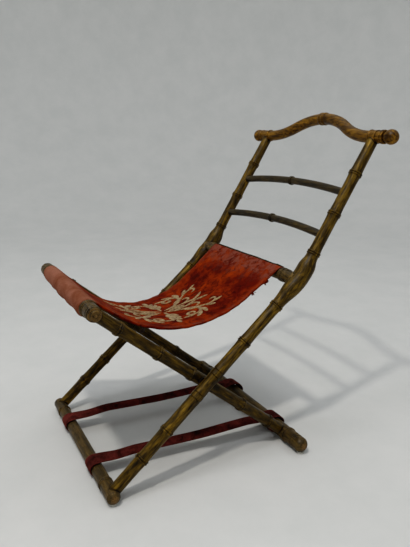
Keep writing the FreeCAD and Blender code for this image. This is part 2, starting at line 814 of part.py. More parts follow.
box = Part.makeCompound(list(nodes.values())).optimalBoundingBox(False)
print(f"size {box.XLength:.1f} x {box.YLength:.1f} x {box.ZLength:.1f}, y {box.YMin:.2f} to {box.YMax:.2f}")
print(f"pivot at y {pivot.y:.2f}, z {pivot.z:.2f}; stance middle at y {-middle_y:.2f}")
print(f"rear bar at y {rear_bar.y:.2f}, z {rear_bar.z:.2f}")
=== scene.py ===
# %% [markdown]
# # A folding chair with a velvet sling
# The chair is two turned frames that cross at a pair of pivots, with a sling of worn velvet between
# them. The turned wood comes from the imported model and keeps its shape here. This lesson gives the
# wood its old gilded finish, adds a little turned trim, and makes the soft pieces: the sling, its
# lining, the straps and the embroidery. Everything is in metres, and the chair faces -Y.

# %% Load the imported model
import math
import bmesh
import bpy
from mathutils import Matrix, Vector, noise


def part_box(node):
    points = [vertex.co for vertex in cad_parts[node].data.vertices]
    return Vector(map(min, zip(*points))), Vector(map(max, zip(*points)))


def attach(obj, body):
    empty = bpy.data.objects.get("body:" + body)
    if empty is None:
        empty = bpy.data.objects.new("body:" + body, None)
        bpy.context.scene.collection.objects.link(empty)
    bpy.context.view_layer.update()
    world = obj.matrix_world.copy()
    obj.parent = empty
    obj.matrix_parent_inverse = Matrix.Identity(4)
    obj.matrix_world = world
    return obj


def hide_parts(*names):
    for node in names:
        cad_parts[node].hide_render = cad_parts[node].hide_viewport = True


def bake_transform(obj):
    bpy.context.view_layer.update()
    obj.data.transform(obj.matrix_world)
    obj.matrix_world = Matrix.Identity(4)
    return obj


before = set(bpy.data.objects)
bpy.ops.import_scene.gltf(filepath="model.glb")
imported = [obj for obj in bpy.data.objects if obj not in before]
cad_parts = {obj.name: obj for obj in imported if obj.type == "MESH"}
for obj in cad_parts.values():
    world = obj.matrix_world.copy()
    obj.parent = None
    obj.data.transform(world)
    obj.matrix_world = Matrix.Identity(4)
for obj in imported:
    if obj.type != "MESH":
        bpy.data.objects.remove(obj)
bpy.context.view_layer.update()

mm = 0.001

# %% [markdown]
# ## Helpers for finishes and pieces
# Colours are easiest to choose as the hex values of a paint program, but the shader wants linear
# light, so one function turns one into the other. A second function adds a node, sets it up and
# links its inputs in one line. That keeps a material readable from top to bottom, as a recipe. Two
# more start a material, and turn a finished bmesh into an object at the origin.

# %% Colour, node and piece helpers
def linear(code):
    """sRGB hex colour as linear RGBA."""
    shares = [int(code[start:start + 2], 16) / 255 for start in (1, 3, 5)]
    return [c / 12.92 if c <= 0.04045 else ((c + 0.055) / 1.055) ** 2.4 for c in shares] + [1.0]


def add(tree, kind, inputs=(), out=0, **settings):
    """Adds a node with its settings; an input is a value, a hex colour or a link. Returns one output."""
    made = tree.nodes.new(kind)
    for name, value in settings.items():
        setattr(made, name, value)
    for key, value in dict(inputs).items():
        if isinstance(value, bpy.types.NodeSocket):
            tree.links.new(value, made.inputs[key])
        else:
            made.inputs[key].default_value = linear(value) if isinstance(value, str) else value
    return made.outputs[out] if len(made.outputs) else made


def new_material(name):
    """An empty material and its node tree."""
    material = bpy.data.materials.new(name)
    material.use_nodes = True
    material.node_tree.nodes.clear()
    return material, material.node_tree


def new_piece(name, mesh_builder, material):
    """Smooth object at the origin from a finished bmesh."""
    mesh = bpy.data.meshes.new(name)
    mesh_builder.to_mesh(mesh)
    mesh_builder.free()
    for face in mesh.polygons:
        face.use_smooth = True
    mesh.materials.append(material)
    piece = bpy.data.objects.new(name, mesh)
    bpy.context.scene.collection.objects.link(piece)
    return piece


# %% [markdown]
# ## Room, camera and light
# The chair stands in a pale studio whose floor runs up into the wall. A flat backdrop would show its
# edges as soon as the camera goes round, so this is a round cove: one profile of floor and wall,
# bevelled at the corner and spun about Z. A small lamp ahead of the chair throws the shadows to the
# rear, and a large one fills them.

# %% Studio cove
cove_radius = 5.0
cove_height = 5.5
cove_bend = 2.2

# Matt wall paint, faintly scuffed: it scatters light evenly and has no shine.
studio_paint, tree = new_material("studio_paint_matt")
spot = add(tree, "ShaderNodeTexCoord", out="Object")
scuffs = add(tree, "ShaderNodeTexNoise", {
    "Vector": spot, "Scale": 1 / (200 * mm), "Detail": 6.0, "Roughness": 0.65})
scuffs = add(tree, "ShaderNodeMapRange", {0: scuffs, 1: 0.35, 2: 0.7})
paint = add(tree, "ShaderNodeMixRGB", {0: scuffs, 1: "#cccdcb", 2: "#d3d3d1"})
shader = add(tree, "ShaderNodeBsdfPrincipled", {"Base Color": paint, "Roughness": 0.85})
add(tree, "ShaderNodeOutputMaterial", {"Surface": shader})

work = bmesh.new()
profile = ((0, 0, 0), (cove_radius, 0, 0), (cove_radius, 0, cove_height))
corners = [work.verts.new(place) for place in profile]
for pair in zip(corners, corners[1:]):
    work.edges.new(pair)
bmesh.ops.bevel(work, geom=[corners[1]], offset=cove_bend, affect="VERTICES", segments=16, profile=0.5,
                material=-1)
bmesh.ops.spin(work, geom=work.verts[:] + work.edges[:], cent=(0, 0, 0), axis=(0, 0, 1),
               angle=2 * math.pi, steps=96, use_merge=True)
bmesh.ops.remove_doubles(work, verts=work.verts, dist=0.1 * mm)
bmesh.ops.recalc_face_normals(work, faces=work.faces)
# The operator turns the faces outwards, but this room is seen from inside.
bmesh.ops.reverse_faces(work, faces=work.faces[:])
cove = new_piece("studio_cove", work, studio_paint)
print("cove faces:", len(cove.data.polygons))

# %% Camera at the photograph's place
camera_place = (1.19217, -0.64103, 0.76812)
degrees_down = 14.73
degrees_from_y = 61.89

camera_data = bpy.data.cameras.new("camera")
camera_data.sensor_width = 36.0
camera_data.lens = 35.54
camera = bpy.data.objects.new("camera", camera_data)
camera.location = camera_place
camera.rotation_euler = (math.radians(90 - degrees_down), 0, math.radians(degrees_from_y))
bpy.context.scene.collection.objects.link(camera)
bpy.context.scene.camera = camera
print("camera at", camera_place)

# %% Lamps
def lamp(name, place, aim, size, watts, colour):
    """A round area lamp that shines from its place towards its aim."""
    data = bpy.data.lights.new(name, "AREA")
    data.shape = "DISK"
    data.size = size
    data.energy = watts
    data.color = linear(colour)[:3]
    made = bpy.data.objects.new(name, data)
    made.location = place
    made.rotation_euler = (Vector(aim) - Vector(place)).to_track_quat("-Z", "Y").to_euler()
    bpy.context.scene.collection.objects.link(made)
    print(name, watts, "W")


seat_middle = (0, 0, 0.4)
lamp("key_lamp", place=(1.05, -1.25, 3.4), aim=seat_middle, size=0.22, watts=40, colour="#fffaf2")
lamp("top_lamp", place=(0.3, -0.8, 3.6), aim=seat_middle, size=0.9, watts=18, colour="#fbfbff")
world = bpy.data.worlds.new("studio_daylight")
world.use_nodes = True
daylight = world.node_tree.nodes["Background"].inputs
daylight["Color"].default_value = linear("#eef1f4")
daylight["Strength"].default_value = 0.92
bpy.context.scene.world = world

# The photograph's camera deepens the shadows: the darkest tones drop, the others stay.
view = bpy.context.scene.view_settings
view.view_transform = "Standard"
view.use_curve_mapping = True
all_channels = view.curve_mapping.curves[3]
for tone, deepened in ((0.012, 0.004), (0.04, 0.025), (0.1, 0.085), (0.25, 0.245)):
    all_channels.points.new(tone, deepened)
view.curve_mapping.update()

# %% [markdown]
# ## The finish of the wood
# The rods are beech, turned to look like bamboo, then stained dark and washed with gold that has
# worn thin. A picture of wood could be wrapped round each rod, but streaks that are worked out from
# the place in space need no unwrapping. They run along each rod, so the pattern's coordinates are
# turned to the rod first: a Mapping node of the Texture kind takes away a place, turns back an angle
# and divides by a size. An upright is two straight runs, and each side of the bend takes its own
# angle.
#
# Dirt and painted shade darken the turned grooves, and the gilding is rubbed bright on the beads: an
# Ambient Occlusion node finds the hollows, and the same node looking inwards finds the edges. More
# dirt and painted shade darken the corner where a rod ends on a rail. The rails' ends are rubbed, and
# their brown also paints a highlight.

# %% Streaks along a rod
def along_rod(tree, spot, runs, across, length):
    """Coordinates along a rod, from its (place, turn). A bent rod has two, which share their place."""
    ways = []
    for place, turn in runs:
        ways.append(add(tree, "ShaderNodeMapping", {
            "Vector": spot, "Location": place, "Rotation": turn, "Scale": (length, across, across),
        }, vector_type="TEXTURE"))
    if len(ways) == 1:
        return ways[0]
    (place, low_turn), (_, high_turn) = runs
    middle = tuple((a + b) / 2 for a, b in zip(low_turn, high_turn))
    beyond = add(tree, "ShaderNodeMapping", {"Vector": spot, "Location": place, "Rotation": middle},
                 vector_type="TEXTURE")
    beyond = add(tree, "ShaderNodeSeparateXYZ", {0: beyond}, out="X")
    beyond = add(tree, "ShaderNodeMath", {0: beyond, 1: 0.0}, operation="GREATER_THAN")
    return add(tree, "ShaderNodeMixRGB", {0: beyond, 1: ways[0], 2: ways[1]})


# Grain, patches of stain, brush marks of the gold wash and flecks of dirt: width, length, detail and
# roughness of each.
streak_sizes = {
    "grain": (2.2 * mm, 60 * mm, 5.0, 0.6), "stain": (14 * mm, 42 * mm, 4.0, 0.6),
    "wash": (6 * mm, 48 * mm, 6.0, 0.7), "fleck": (3 * mm, 16 * mm, 3.0, 0.6),
}
print("kinds of streak:", list(streak_sizes))

# %% Gilded wood
# Near-black for dirt and painted shade in the hollows and in the corners of the joints.
grime_and_shade = "#0b0603"
# Brown of rubbed wood, which also paints a highlight on the rails' ends.
bare_wood_and_highlight = "#9a7446"
# Dirt and painted shade in a joint's corner fade out between these distances from the rail.
joint_grime_shade_start = 1 * mm
joint_grime_shade_end = 4.5 * mm


def gilded_wood(name, runs, dark, brown, gold, gilding, joints=(), end_rub_and_highlight=0.0):
    """Turned beech, stained and washed with gold: streaks to the eye, satin where varnish is left.
    Joints are the (axis, radius) of the rails that a rod ends on."""
    material, tree = new_material(name)
    spot = add(tree, "ShaderNodeTexCoord", out="Object")
    streaks = {}
    for kind, (width, length, detail, roughness) in streak_sizes.items():
        streaks[kind] = add(tree, "ShaderNodeTexNoise", {
            "Vector": along_rod(tree, spot, runs, width, length), "Scale": 1.0, "Detail": detail,
            "Roughness": roughness})
    # The stain follows the grain. Gold is left where the brush laid it on and wear has spared it.
    grain = add(tree, "ShaderNodeMapRange", {0: streaks["grain"], 1: 0.32, 2: 0.66})
    colour = add(tree, "ShaderNodeMixRGB", {0: grain, 1: dark, 2: brown})
    worn = add(tree, "ShaderNodeMapRange", {0: streaks["stain"], 1: 0.32, 2: 0.66})
    brushed = add(tree, "ShaderNodeMapRange", {0: streaks["wash"], 1: 0.38, 2: 0.64})
    gilt = add(tree, "ShaderNodeMath", {0: worn, 1: brushed}, operation="MULTIPLY")
    gilt = add(tree, "ShaderNodeMath", {0: gilt, 1: gilding}, operation="MULTIPLY", use_clamp=True)
    colour = add(tree, "ShaderNodeMixRGB", {0: gilt, 1: colour, 2: gold})
    fleck = add(tree, "ShaderNodeMapRange", {0: streaks["fleck"], 1: 0.55, 2: 0.68, 3: 0.0, 4: 0.65})
    colour = add(tree, "ShaderNodeMixRGB", {0: fleck, 1: colour, 2: dark})
    # Bright beads; dirt and painted shade in the hollows and in the corners of the joints.
    rim = add(tree, "ShaderNodeAmbientOcclusion", {"Distance": 2.5 * mm}, out="AO", inside=True,
              only_local=True, samples=8)
    rim = add(tree, "ShaderNodeMapRange", {0: rim, 1: 0.62, 2: 0.36, 3: 0.0, 4: 0.5})
    colour = add(tree, "ShaderNodeMixRGB", {0: rim, 1: colour, 2: gold})
    # The hollows that ambient occlusion finds get dirt and painted shade.
    hollow_grime_shade = add(tree, "ShaderNodeAmbientOcclusion", {"Distance": 4 * mm}, out="AO", samples=8)
    hollow_grime_shade = add(tree, "ShaderNodeMapRange", {0: hollow_grime_shade, 1: 0.92, 2: 0.55, 3: 0.0, 4: 0.96})
    colour = add(tree, "ShaderNodeMixRGB", {0: hollow_grime_shade, 1: colour, 2: grime_and_shade})
    side_view = add(tree, "ShaderNodeVectorMath", {0: spot, 1: (0, 1, 1)}, operation="MULTIPLY")
    # Next to each rail that the rod ends on, the rod gets dirt and painted shade.
    for axis, radius in joints:
        corner_grime_shade = add(tree, "ShaderNodeVectorMath", {0: side_view, 1: axis}, out="Value",
                     operation="DISTANCE")
        corner_grime_shade = add(tree, "ShaderNodeMapRange", {
            0: corner_grime_shade, 1: radius + joint_grime_shade_start, 2: radius + joint_grime_shade_end, 3: 0.85, 4: 0.0})
        colour = add(tree, "ShaderNodeMixRGB", {0: corner_grime_shade, 1: colour, 2: grime_and_shade})
    # A rail's ends are rubbed down to brown wood, and the brown also paints a highlight on them; they
    # are the faces that look along X.
    end = add(tree, "ShaderNodeNewGeometry", out="Normal")
    end = add(tree, "ShaderNodeSeparateXYZ", {0: end}, out="X")
    end = add(tree, "ShaderNodeMath", {0: end}, operation="ABSOLUTE")
    end = add(tree, "ShaderNodeMapRange", {0: end, 1: 0.8, 2: 0.98, 3: 0.0, 4: end_rub_and_highlight})
    end = add(tree, "ShaderNodeMath", {0: end, 1: grain}, operation="MULTIPLY")
    colour = add(tree, "ShaderNodeMixRGB", {0: end, 1: colour, 2: bare_wood_and_highlight})
    # The wash is bronze powder in a binder, so it reflects a little like metal where it is thick.
    metal = add(tree, "ShaderNodeMapRange", {0: gilt, 3: 0.05, 4: 0.45})
    rough = add(tree, "ShaderNodeMapRange", {0: streaks["stain"], 1: 0.3, 2: 0.7, 3: 0.34, 4: 0.55})
    relief = add(tree, "ShaderNodeMath", {0: streaks["grain"], 1: streaks["stain"]}, operation="ADD")
    bump = add(tree, "ShaderNodeBump", {"Height": relief, "Strength": 0.6, "Distance": 0.7 * mm})
    shader = add(tree, "ShaderNodeBsdfPrincipled", {
        "Base Color": colour, "Metallic": metal, "Roughness": rough, "Normal": bump, "IOR": 1.5,
        "Specular IOR Level": 0.22})
    add(tree, "ShaderNodeOutputMaterial", {"Surface": shader})
    return material


# %% Where the rods run
# Radius of each rail between its turned nodes, and of the crest where it meets its finials.
turned_radius = {
    "front_seat_rail": 17 * mm, "rear_seat_bar": 15 * mm, "front_floor_rail": 15 * mm,
    "rear_floor_rail": 18 * mm, "crest_finial_left": 15.4 * mm,
}
bend_place = (0, 0.13484, 0.437)
lower_angle = 40.9
back_angle = 57.97
leg_angle = -39.4


def rail_axis(node):
    """The line along X that a rail or a finial is turned about."""
    low_corner, high_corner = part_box(node)
    return Vector((0, (low_corner[1] + high_corner[1]) / 2, (low_corner[2] + high_corner[2]) / 2))


def joints_on(*nodes):
    """The (axis, radius) of each turned piece that a rod ends on."""
    return [(rail_axis(node), turned_radius[node]) for node in nodes]


def side_turn(degrees):
    """A rod in the side view is tilted first and then turned from X to Y, so that grain runs along it."""
    return (0, -math.radians(degrees), math.radians(90))


upright_runs = [(bend_place, side_turn(lower_angle)), (bend_place, side_turn(back_angle))]
leg_run = [((0, 0, 0), side_turn(leg_angle))]
cross_run = [((0, 0, 0), (0, 0, 0))]
print("turned radii:", turned_radius)

# %% Wood on the rods
umber, olive, dark_olive, gold_leaf = "#120c04", "#382b10", "#30250e", "#95762b"
finishes = {
    "upright": gilded_wood("gilded_beech_upright", upright_runs, umber, olive, gold_leaf, gilding=0.9,
                           joints=joints_on("front_floor_rail", "crest_finial_left")),
    "leg": gilded_wood("gilded_beech_leg", leg_run, umber, dark_olive, gold_leaf, gilding=0.62,
                       joints=joints_on("rear_floor_rail", "front_seat_rail")),
    "crest": gilded_wood("gilded_beech_crest", cross_run, "#1e1309", "#4d3510", "#a0762d", gilding=1.15),
    "rail": gilded_wood("gilded_beech_rail", cross_run, "#1f1810", "#4c4029", "#846b3c", gilding=0.8,
                        end_rub_and_highlight=0.6),
    "slat": gilded_wood("gilded_beech_slat", cross_run, "#1a1710", "#38332a", "#6b5831", gilding=0.7),
}
nodes_of = {
    "upright": ("upright_left", "upright_right"), "leg": ("leg_left", "leg_right"),
    "crest": ("crest_rail", "crest_finial_left", "crest_finial_right"),
    "rail": ("front_floor_rail", "rear_floor_rail", "front_seat_rail", "rear_seat_bar"),
    "slat": ("upper_back_slat", "lower_back_slat"),
}


def finish_node(name, material):
    """Gives a CAD node's object its finish."""
    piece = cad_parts[name]
    if not piece.material_slots:
        piece.data.materials.append(material)
    for slot in piece.material_slots:
        slot.material = material


for finish, nodes in nodes_of.items():
    for name in nodes:
        finish_node(name, finishes[finish])
    print(finish, "finish on", nodes)

# %% [markdown]
# ## Turned trim
# The crest is turned a little thicker where the uprights enter it, with a bead at the inner end. The
# solid crest has the collar next to the finial; a thin boss lies round the rod beside it. Each end of
# the front seat rail is finished with a ring and a button. A Screw modifier could turn these, but the
# spin operator gives a plain mesh at once: an outline is drawn and spun about the rod's axis, as a
# lathe would do it.

# %% Bosses and buttons
# Places along X and radii, in millimetres. The boss is a closed outline whose ends lie inside the rod,
# and the button's outline starts and ends on the axis.
boss_outline = (
    (205.5, 13.6), (205.5, 14.7), (206.4, 16.1), (208.2, 17.0), (210.2, 17.0), (212, 16.1), (212.9, 15.2),
    (214.2, 15.5), (227, 15.5), (228.2, 15.1), (229.4, 15.9), (231.2, 15.9), (231.2, 13.6), (205.5, 13.6),
)
button_outline = (
    (219.2, 0), (219.0, 2.2), (218.3, 3.9), (216.9, 4.6), (216.9, 7.4), (218.0, 8.3), (218.5, 9.6),
    (218.0, 10.9), (216.7, 11.7), (214.5, 11.7), (214.5, 0),
)


def turned_pair(name, outline, axis, finish, body):
    """Spins an outline about an axis along X, at both ends of a rod."""
    work = bmesh.new()
    for side in (1, -1):
        verts = [work.verts.new((side * x * mm, axis.y, axis.z + radius * mm)) for x, radius in outline]
        edges = [work.edges.new(pair) for pair in zip(verts, verts[1:])]
        bmesh.ops.spin(work, geom=verts + edges, cent=axis, axis=(1, 0, 0), angle=2 * math.pi, steps=56,
                       use_merge=True)
    bmesh.ops.remove_doubles(work, verts=work.verts, dist=0.01 * mm)
    bmesh.ops.recalc_face_normals(work, faces=work.faces)
    piece = new_piece(name, work, finish)
    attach(piece, body)
    print(name, "faces:", len(piece.data.polygons))


turned_pair("crest_end_bosses", boss_outline, rail_axis("crest_finial_left"), finishes["crest"], "back_frame")
turned_pair("seat_rail_buttons", button_outline, rail_axis("front_seat_rail"), finishes["rail"], "seat_frame")

# %% [markdown]
# ## Iron, and the glides
# The pivot screws, their washers and the tacks are old iron: nearly black, with rust where the oxide
# has broken. The glides under the rails are pale nylon, scuffed by the floor. Their shapes come from
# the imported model. They are small, so the patterns are a few millimetres across.

# %% Small hardware
# Iron with its black oxide: a dull metal shine, and none where rust has come through.
old_iron, tree = new_material("oxidised_iron")
spot = add(tree, "ShaderNodeTexCoord", out="Object")
rust = add(tree, "ShaderNodeTexNoise", {
    "Vector": spot, "Scale": 1 / (4 * mm), "Detail": 5.0, "Roughness": 0.7})
rust_share = add(tree, "ShaderNodeMapRange", {0: rust, 1: 0.45, 2: 0.68})
colour = add(tree, "ShaderNodeMixRGB", {0: rust_share, 1: "#3a3733", 2: "#5c3a22"})
metal = add(tree, "ShaderNodeMapRange", {0: rust_share, 3: 0.9, 4: 0.15})
rough = add(tree, "ShaderNodeMapRange", {0: rust_share, 3: 0.42, 4: 0.8})
bump = add(tree, "ShaderNodeBump", {"Height": rust, "Strength": 0.4, "Distance": 0.2 * mm})
shader = add(tree, "ShaderNodeBsdfPrincipled", {
    "Base Color": colour, "Metallic": metal, "Roughness": rough, "Normal": bump})
add(tree, "ShaderNodeOutputMaterial", {"Surface": shader})

# Moulded nylon: pale and half glossy, grey and matt where the floor has scuffed it.
nylon, tree = new_material("scuffed_nylon")
spot = add(tree, "ShaderNodeTexCoord", out="Object")
scuff = add(tree, "ShaderNodeTexNoise", {
    "Vector": spot, "Scale": 1 / (3 * mm), "Detail": 4.0, "Roughness": 0.65})
scuff_share = add(tree, "ShaderNodeMapRange", {0: scuff, 1: 0.4, 2: 0.7})
colour = add(tree, "ShaderNodeMixRGB", {0: scuff_share, 1: "#c9c6bd", 2: "#8d8a82"})
rough = add(tree, "ShaderNodeMapRange", {0: scuff_share, 3: 0.4, 4: 0.7})
bump = add(tree, "ShaderNodeBump", {"Height": scuff, "Strength": 0.3, "Distance": 0.15 * mm})
shader = add(tree, "ShaderNodeBsdfPrincipled", {
    "Base Color": colour, "Roughness": rough, "Normal": bump, "IOR": 1.53})
add(tree, "ShaderNodeOutputMaterial", {"Surface": shader})

iron_nodes = [f"pivot_{part}_{side}" for part in ("screw", "washer", "rove") for side in ("left", "right")]
iron_nodes += ["sling_front_tacks", "sling_rear_tacks", "strap_front_tacks", "strap_rear_tacks"]
for name in iron_nodes:
    finish_node(name, old_iron)
for name in ("front_glides", "rear_glides"):
    finish_node(name, nylon)
print("iron nodes:", len(iron_nodes))

# %% [markdown]
# ## How a cloth hangs between two rails
# Seen from the side, the sling goes round the front rail, straight down, round a bottom curve,
# straight up and over the rear bar. The straps near the floor do the same between two other rails. A
# cloth simulation could find such a shape, but a taut cloth follows arcs and straight lines that a
# short function can work out, the same in every run. It gives the point and the upward normal at any
# distance along the cloth, so the sling, its lining and the embroidery all lie on one surface.

# %% Hanging path
def turned(angle):
    """Unit vector in the side view."""
    return Vector((0, math.cos(angle), math.sin(angle)))


def hanging_path(front, front_radius, rear, rear_radius, centre, bottom_radius, front_end, rear_end):
    """Length of each of the five stretches, and a function from distance to point and normal."""
    lean = []
    for rail, radius, sign in ((front, front_radius, 1), (rear, rear_radius, -1)):
        to_centre = centre - rail
        aim = math.atan2(to_centre.z, to_centre.y)
        lean.append(aim + sign * math.acos((bottom_radius + radius) / to_centre.length))
    leave, arrive = lean
    run_start = front + turned(leave) * front_radius
    run_end = centre - turned(leave) * bottom_radius
    rise_start = centre - turned(arrive) * bottom_radius
    rise_end = rear + turned(arrive) * rear_radius
    lengths = [
        front_radius * (front_end - leave), (run_end - run_start).length, bottom_radius * (arrive - leave),
        (rise_end - rise_start).length, rear_radius * (arrive - rear_end),
    ]

    def at(distance):
        step = 0
        while step < 4 and distance > lengths[step]:
            distance -= lengths[step]
            step += 1
        if step == 0:
            normal = turned(front_end - distance / front_radius)
            return front + normal * front_radius, normal
        if step == 1:
            return run_start.lerp(run_end, distance / lengths[1]), turned(leave)
        if step == 2:
            normal = turned(leave + distance / bottom_radius)
            return centre - normal * bottom_radius, normal
        if step == 3:
            return rise_start.lerp(rise_end, distance / lengths[3]), turned(arrive)
        normal = turned(arrive - distance / rear_radius)
        return rear + normal * rear_radius, normal

    return lengths, at


def ease(value, start, end):
    """0 before start, 1 after end, smooth between."""
    share = min(max((value - start) / (end - start), 0), 1)
    return share * share * (3 - 2 * share)


# The cloth's path lies this far off the rails.
cloth_gap = 0.3 * mm
wrap_radius = {node: radius + cloth_gap for node, radius in turned_radius.items()}
seat_front = rail_axis("front_seat_rail")
# The rear bar's own axis; the middle of its box is 0.02 mm off it.
seat_rear = Vector((0, 0.12043, 0.43378))
floor_front = rail_axis("front_floor_rail")
floor_rear = rail_axis("rear_floor_rail")
# Halfway between the floor rails, to a hundredth of a millimetre.
stance_middle = round((floor_front.y + floor_rear.y) / 2, 5)
print("front rail axis:", seat_front, "rear bar axis:", seat_rear, "middle:", stance_middle)

# %% Surface of the seat
sling_half = 160 * mm
sling_forward = 20 * mm
sling_low = {"left": 341 * mm, "right": 309 * mm}
sling_round = {"left": 280 * mm, "right": 220 * mm}
sling_front_end = math.radians(312)
sling_rear_end = math.radians(-40)
# The cloth lies still near a rail and ripples fully farther off. Its side edges ripple more.
still_reach = 10 * mm
ripple_reach = 60 * mm
edge_band = 35 * mm
# The sleeve hangs off its rail, in waves. The slack grows and fades along the cloth and at its sides.
sleeve_slack = 2.4 * mm
slack_wave = 4.0 * mm
slack_grows = 16 * mm
slack_fades = (26 * mm, 52 * mm)
slack_side = 16 * mm
# Puckers fade past the sleeve's end and grow towards the rear bar.
seam_fades = (-5 * mm, 20 * mm)
rear_grows = (-50 * mm, -12 * mm)


def seat_path(x):
    """The sling's path at one station across the seat; it hangs lower and rounder to the right."""
    share = (x + sling_half) / (2 * sling_half)
    low_z, radius = (side["right"] + (side["left"] - side["right"]) * share
                     for side in (sling_low, sling_round))
    centre = Vector((0, stance_middle - sling_forward, low_z + radius))
    return hanging_path(seat_front, wrap_radius["front_seat_rail"], seat_rear, wrap_radius["rear_seat_bar"],
                        centre, radius, sling_front_end, sling_rear_end)


def seat_point(x, share, lift):
    """Point of the seat at a station across it and a share of its length, lifted off the path."""
    lengths, at = seat_path(min(max(x, -sling_half), sling_half))
    sleeve_end = lengths[0]
    rear_start = sum(lengths[:4])
    distance = share * sum(lengths)
    point, normal = at(distance)

    def wave(across, along, seed, height):
        """Noise with so many bumps per metre across and along the cloth."""
        return noise.noise((x * across, distance * along, seed)) * height

    ripple = wave(across=9, along=7, seed=0.3, height=2.2 * mm)
    ripple += wave(across=24, along=20, seed=4.1, height=0.7 * mm)
    edge = ease(abs(x), sling_half - edge_band, sling_half)
    ripple += edge * wave(across=12, along=45, seed=7.7, height=1.6 * mm)
    ripple *= ease(distance, sleeve_end + still_reach, sleeve_end + ripple_reach)
    ripple *= 1 - ease(distance, rear_start - ripple_reach, rear_start - still_reach)
    pucker = max(wave(across=5, along=95, seed=2.6, height=1.1 * mm), 0)
    pucker *= 1 - ease(distance - sleeve_end, *seam_fades)
    # The sleeve is a loose fit: it hangs off the rail below and in front, in shallow waves.
    slack = ease(distance, 0, slack_grows) * (1 - ease(distance, *slack_fades))
    slack *= 1 - ease(abs(x), sling_half - slack_side, sling_half)
    pucker += slack * (sleeve_slack + noise.noise((x * 26, 1.7, 0.2)) * slack_wave)
    rear_pucker = max(wave(across=34, along=22, seed=9.1, height=2.4 * mm), 0)
    pucker += rear_pucker * ease(distance - rear_start, *rear_grows)
    return point + normal * (lift + ripple + pucker) + Vector((x, 0, 0))


seat_lengths = seat_path(0)[0]
seat_length = sum(seat_lengths)
seat_rear_start = sum(seat_lengths[:4])
print("seat cloth length:", round(seat_length, 4), "stretches:", [round(part, 4) for part in seat_lengths])

# %% [markdown]
# ## Velvet
# Velvet is a pile of upright threads, so it shines at grazing angles and goes dark where it is
# brushed the other way. Particle hair could make the pile thread by thread, but at this distance a
# sheen and a bump of fine noise look the same. This velvet has faded from red to rust, is rubbed to
# its pink ground at the edges and is bald where the sleeve goes over the front rail. The masks come
# from attributes of the sheet, broken up by noise. Real pile is 0.3 mm across; it is drawn at about
# 1.2 mm so that it shows.

# %% Velvet finish
def worn_velvet(name, nap, patch, shade, ground, bald, soiled):
    """Woven silk pile: deep and matt to the eye, blotched by brushing, pale where the pile is gone."""
    material, tree = new_material(name)
    spot = add(tree, "ShaderNodeUVMap", uv_map="cloth")
    sleeve = add(tree, "ShaderNodeAttribute", out="Fac", attribute_name="bald")
    rubbed = add(tree, "ShaderNodeAttribute", out="Fac", attribute_name="rubbed")
    cloud = add(tree, "ShaderNodeTexNoise", {
        "Vector": spot, "Scale": 1 / (70 * mm), "Detail": 5.0, "Roughness": 0.62, "Distortion": 0.6})
    brush = add(tree, "ShaderNodeTexNoise", {
        "Vector": spot, "Scale": 1 / (22 * mm), "Detail": 6.0, "Roughness": 0.7, "Distortion": 0.8})
    blotch = add(tree, "ShaderNodeTexNoise", {
        "Vector": spot, "Scale": 1 / (17 * mm), "Detail": 5.0, "Roughness": 0.62, "Distortion": 0.5})
    pile = add(tree, "ShaderNodeTexNoise", {"Vector": spot, "Scale": 1 / (1.2 * mm), "Detail": 2.0})
    tone = add(tree, "ShaderNodeMapRange", {0: cloud, 1: 0.4, 2: 0.62})
    colour = add(tree, "ShaderNodeMixRGB", {0: tone, 1: patch, 2: nap})
    dark = add(tree, "ShaderNodeMapRange", {0: brush, 1: 0.46, 2: 0.64, 3: 0.0, 4: 0.85})
    colour = add(tree, "ShaderNodeMixRGB", {0: dark, 1: colour, 2: shade})
    # Wear eats in along a broken line, so each mask is pushed about by the same noise.
    rubbed = add(tree, "ShaderNodeMath", {0: rubbed, 1: brush}, operation="ADD")
    rubbed = add(tree, "ShaderNodeMapRange", {0: rubbed, 1: 0.92, 2: 1.3, 3: 0.0, 4: 0.95})
    blotch = add(tree, "ShaderNodeMapRange", {0: blotch, 1: 0.4, 2: 0.56, 3: 0.12, 4: 1.0})
    rubbed = add(tree, "ShaderNodeMath", {0: rubbed, 1: blotch}, operation="MULTIPLY")
    colour = add(tree, "ShaderNodeMixRGB", {0: rubbed, 1: colour, 2: ground})
    sleeve = add(tree, "ShaderNodeMath", {0: sleeve, 1: brush}, operation="ADD")
    sleeve = add(tree, "ShaderNodeMapRange", {0: sleeve, 1: 0.8, 2: 1.2, 3: 0.0, 4: 0.92})
    stain = add(tree, "ShaderNodeMapRange", {0: cloud, 1: 0.38, 2: 0.6})
    bare = add(tree, "ShaderNodeMixRGB", {0: stain, 1: soiled, 2: bald})
    colour = add(tree, "ShaderNodeMixRGB", {0: sleeve, 1: colour, 2: bare})
    speck = add(tree, "ShaderNodeMapRange", {0: pile, 1: 0.3, 2: 0.7, 3: 0.68, 4: 1.2})
    colour = add(tree, "ShaderNodeVectorMath", {0: colour, 1: speck}, operation="MULTIPLY")
    bump = add(tree, "ShaderNodeBump", {"Height": pile, "Strength": 0.35, "Distance": 0.5 * mm})
    bump = add(tree, "ShaderNodeBump", {
        "Height": brush, "Strength": 0.5, "Distance": 1.5 * mm, "Normal": bump})
    shader = add(tree, "ShaderNodeBsdfPrincipled", {
        "Base Color": colour, "Roughness": 0.9, "Normal": bump, "Specular IOR Level": 0.1,
        "Sheen Weight": 0.08, "Sheen Roughness": 0.35, "Sheen Tint": "#d08060"})
    add(tree, "ShaderNodeOutputMaterial", {"Surface": shader})
    return material


seat_velvet = worn_velvet("silk_velvet_rust", nap="#8d3507", patch="#5c1705", shade="#330702",
                          ground="#7c473a", bald="#8f6150", soiled="#744530")
print("finish:", seat_velvet.name)

# %% [markdown]
# ## The sling
# The sling is one strip of velvet with its sides turned under. A grid from the operator is bent to
# the hanging surface: across it, the last few millimetres go round a small roll and back beneath,
# which gives the edge its real look. Solidify then makes the velvet as thick as the cloth. The same
# grid, with UV in metres of cloth, serves the lining and the straps.

